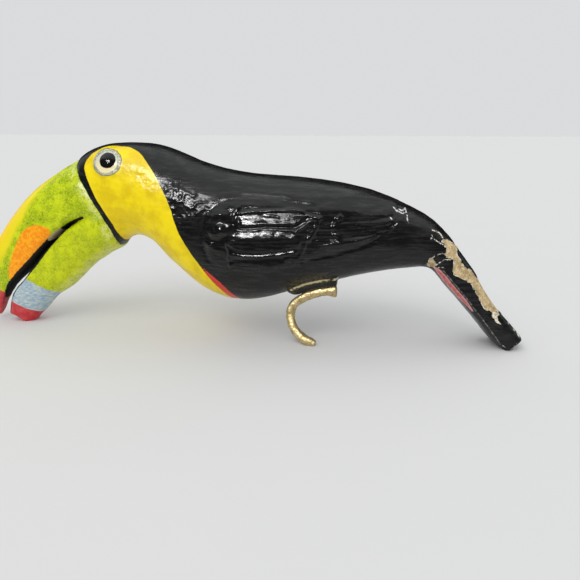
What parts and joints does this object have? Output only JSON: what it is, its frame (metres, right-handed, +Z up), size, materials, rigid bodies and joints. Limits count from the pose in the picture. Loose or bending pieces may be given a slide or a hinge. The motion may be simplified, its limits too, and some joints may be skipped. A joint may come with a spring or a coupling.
{
  "type": "papier-mache toucan figurine",
  "caption": "Hand-painted, lacquered papier-mache toucan with a bent brass claw foot; stands tripod-fashion on bill tip, foot and tail.",
  "frame": {"origin": "on the surface the bird stands on, under the middle of its bounding box", "axes": "+X from the bill towards the tail, -Y to the bird's left side, +Z up"},
  "size_m": [0.4022, 0.0688, 0.1364],
  "materials": {
    "painted_papier_mache": "gloss",
    "aged_brass": "satin"
  },
  "bodies": {
    "root": {"papier_mache_bird": "painted_papier_mache", "brass_foot": "aged_brass"}
  },
  "joints": []
}
